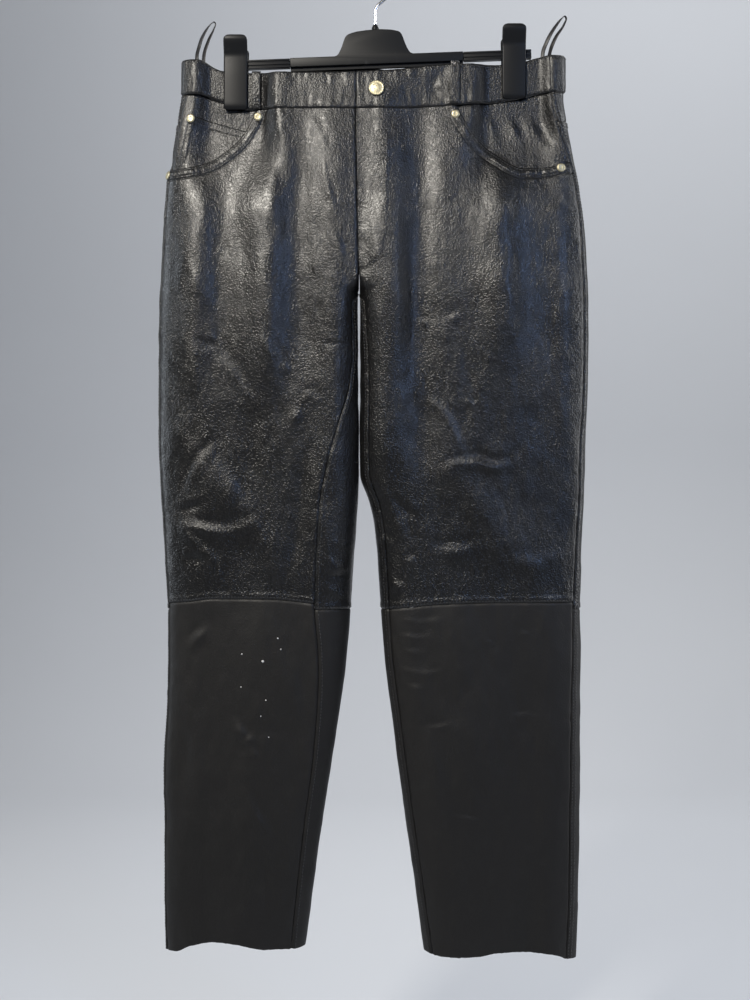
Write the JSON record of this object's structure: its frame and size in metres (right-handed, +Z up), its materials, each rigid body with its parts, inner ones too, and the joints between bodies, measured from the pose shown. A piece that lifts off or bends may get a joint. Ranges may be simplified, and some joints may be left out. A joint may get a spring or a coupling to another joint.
{
  "type": "leather trousers on a clip hanger",
  "caption": "Straight-leg leather trousers with scoop pockets, knee seams and a fly front, hung flat by the waistband from a hanger with two clips.",
  "frame": {"origin": "top of the rail, inside the bend of the hanger's hook", "axes": "+Z up; the trousers' front faces -Y; the wearer's right side is at -X"},
  "size_m": [0.5047, 0.0649, 1.1705],
  "materials": {
    "leather": "soft black leather with a satin sheen",
    "ribbon": "black satin ribbon",
    "brass": "aged pale brass",
    "hanger_plastic": "satin black moulded plastic",
    "hook_wire": "bright plated wire"
  },
  "bodies": {
    "root": {"front_upper_right": "leather", "front_upper_left": "leather", "front_lower_right": "leather", "front_lower_left": "leather", "back_upper_right": "leather", "back_upper_left": "leather", "back_lower_right": "leather", "back_lower_left": "leather", "yoke_right": "leather", "yoke_left": "leather", "waistband_front_right": "leather", "waistband_front_left": "leather", "waistband_back": "leather", "fly_underlap": "leather", "pocket_facing_right": "leather", "pocket_facing_left": "leather", "coin_pocket": "leather", "belt_loop_right": "leather", "belt_loop_left": "leather", "belt_loop_back": "leather", "hanging_loop_right": "ribbon", "hanging_loop_left": "ribbon", "waist_button": "brass", "rivet_coin_pocket": "brass", "rivet_pocket_top_right": "brass", "rivet_pocket_side_right": "brass", "rivet_pocket_top_left": "brass", "rivet_pocket_side_left": "brass", "hanger_body": "hanger_plastic", "hanger_rod_right": "hanger_plastic", "hanger_rod_left": "hanger_plastic", "clip_right_front": "hanger_plastic", "clip_right_back": "hanger_plastic", "clip_left_front": "hanger_plastic", "clip_left_back": "hanger_plastic", "hook_collar": "hanger_plastic", "hook": "hook_wire"}
  },
  "joints": []
}
